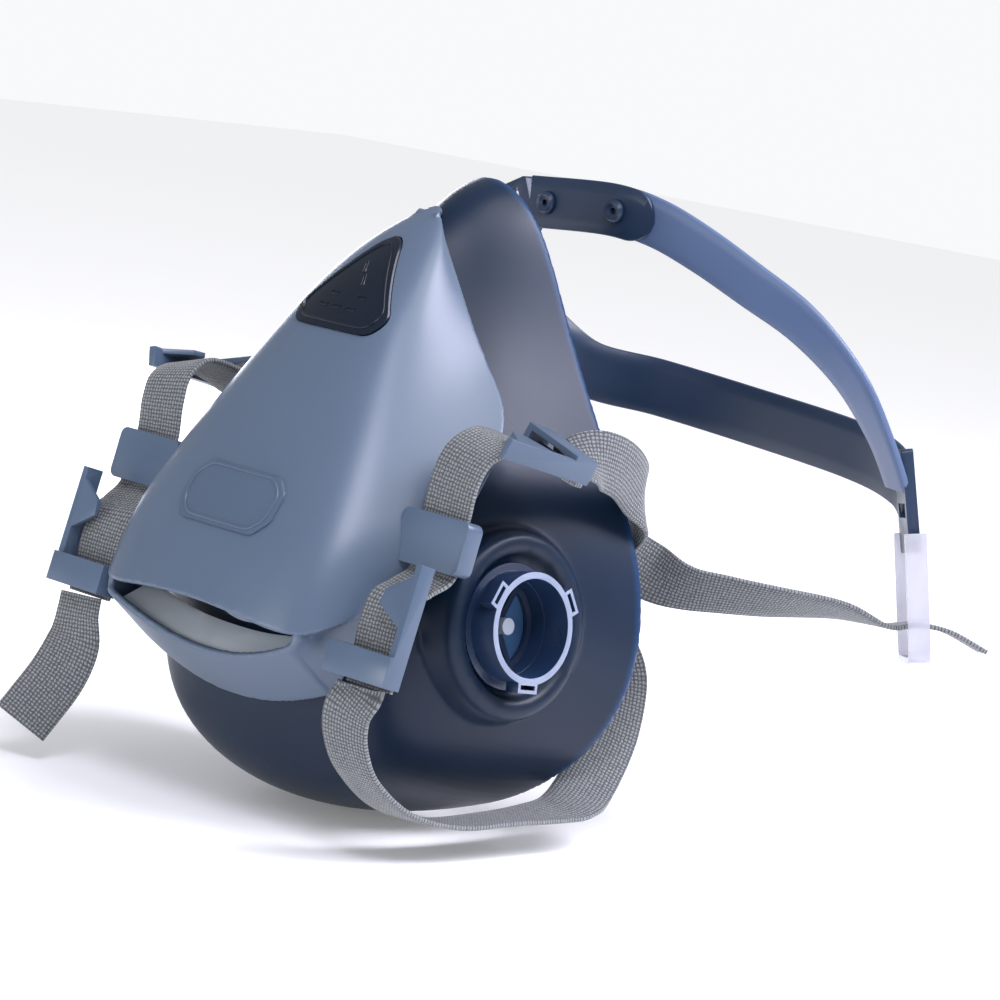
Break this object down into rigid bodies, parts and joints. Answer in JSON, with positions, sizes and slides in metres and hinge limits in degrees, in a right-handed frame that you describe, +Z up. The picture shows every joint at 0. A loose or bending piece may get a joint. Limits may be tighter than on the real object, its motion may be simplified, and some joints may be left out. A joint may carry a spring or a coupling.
{
  "type": "half-face respirator",
  "caption": "Reusable half-face respirator: soft facepiece, rigid valve cover with downward exhaust mouth, bayonet filter ports, webbing harness and head cradle",
  "frame": {"origin": "middle of the opening that seals on the face", "axes": "+Z up, +Y towards the wearer, out of the face opening, +X towards the wearer's left"},
  "size_m": [0.1946, 0.2134, 0.1743],
  "materials": {
    "silicone": "satin moulded silicone",
    "cover_shell": "fine satin moulding",
    "badge": "smooth gloss",
    "badge_matte": "satin",
    "valve_plastic": "smooth satin",
    "flap_silicone": "smooth thin silicone",
    "port_plastic": "smooth satin",
    "webbing": "ribbed woven elastic webbing",
    "buckle_plastic": "satin moulding",
    "band_light": "satin flexible plastic",
    "band_dark": "satin flexible plastic",
    "clear_plastic": "clear moulded plastic"
  },
  "bodies": {
    "mask": {"facepiece": "silicone", "valve_cover": "cover_shell", "exhaust_floor": "cover_shell", "size_badge": "badge", "cover_emblem": "badge_matte", "exhalation_seat": "valve_plastic", "front_band": "band_light", "rear_band": "band_dark", "band_end": "band_dark", "snap_studs": "band_dark", "inhalation_port_left": "port_plastic", "port_retainer_left": "valve_plastic", "strap_guide_left": "buckle_plastic", "side_strap_left": "webbing", "head_strap_left": "webbing", "neck_strap_left": "webbing", "cradle_end_left": "band_dark", "inhalation_port_right": "port_plastic", "port_retainer_right": "valve_plastic", "strap_guide_right": "buckle_plastic", "side_strap_right": "webbing", "head_strap_right": "webbing", "neck_strap_right": "webbing", "cradle_end_right": "band_dark"},
    "exhalation_flap": {"exhalation_flap": "flap_silicone"},
    "inhalation_flap_left": {"inhalation_flap_left": "flap_silicone"},
    "upper_buckle_left": {"upper_buckle_left": "buckle_plastic"},
    "lower_buckle_left": {"lower_buckle_left": "buckle_plastic"},
    "strap_link_left": {"strap_link_left": "clear_plastic"},
    "inhalation_flap_right": {"inhalation_flap_right": "flap_silicone"},
    "upper_buckle_right": {"upper_buckle_right": "buckle_plastic"},
    "lower_buckle_right": {"lower_buckle_right": "buckle_plastic"},
    "strap_link_right": {"strap_link_right": "clear_plastic"}
  },
  "joints": [
    {"name": "exhalation_flap_lift", "type": "slide", "parent": "mask", "child": "exhalation_flap", "axis": [0, -0.9777, 0.2101], "range_m": [0, 0.002], "stiffness_N_per_m": 60, "springref_m": -0.0004},
    {"name": "inhalation_flap_lift_left", "type": "slide", "parent": "mask", "child": "inhalation_flap_left", "axis": [-0.9858, 0.051, -0.16], "range_m": [0, 0.0018], "stiffness_N_per_m": 40, "springref_m": -0.0004},
    {"name": "lower_buckle_tilt_left", "type": "hinge", "parent": "mask", "child": "lower_buckle_left", "pos_m": [0.0532, -0.079, -0.0435], "axis": [0.9995, 0.0299, -0.0068], "range_deg": [0, 20], "stiffness_Nm_per_rad": 0.02, "springref_deg": -2.86},
    {"name": "upper_buckle_tilt_left", "type": "hinge", "parent": "mask", "child": "upper_buckle_left", "pos_m": [0.059, -0.025, 0.0115], "axis": [-0.9597, 0.1227, 0.2529], "range_deg": [0, 20], "stiffness_Nm_per_rad": 0.02, "springref_deg": -2.86},
    {"name": "inhalation_flap_lift_right", "type": "slide", "parent": "mask", "child": "inhalation_flap_right", "axis": [0.9858, 0.051, -0.16], "range_m": [0, 0.0018], "stiffness_N_per_m": 40, "springref_m": -0.0004},
    {"name": "lower_buckle_tilt_right", "type": "hinge", "parent": "mask", "child": "lower_buckle_right", "pos_m": [-0.0532, -0.079, -0.0435], "axis": [0.9995, -0.0299, 0.0068], "range_deg": [0, 20], "stiffness_Nm_per_rad": 0.02, "springref_deg": -2.86},
    {"name": "upper_buckle_tilt_right", "type": "hinge", "parent": "mask", "child": "upper_buckle_right", "pos_m": [-0.059, -0.025, 0.0115], "axis": [-0.9597, -0.1227, -0.2529], "range_deg": [0, 20], "stiffness_Nm_per_rad": 0.02, "springref_deg": -2.86},
    {"name": "strap_link_swing_left", "type": "hinge", "parent": "mask", "child": "strap_link_left", "pos_m": [0.08924, 0.09419, -0.0055], "axis": [0.6815, -0.7197, 0.1325], "range_deg": [-15, 15]},
    {"name": "strap_link_swing_right", "type": "hinge", "parent": "mask", "child": "strap_link_right", "pos_m": [-0.0538, 0.05464, 0.05889], "axis": [-0.4229, 0, 0.9062], "range_deg": [-15, 15], "stiffness_Nm_per_rad": 0.01}
  ]
}
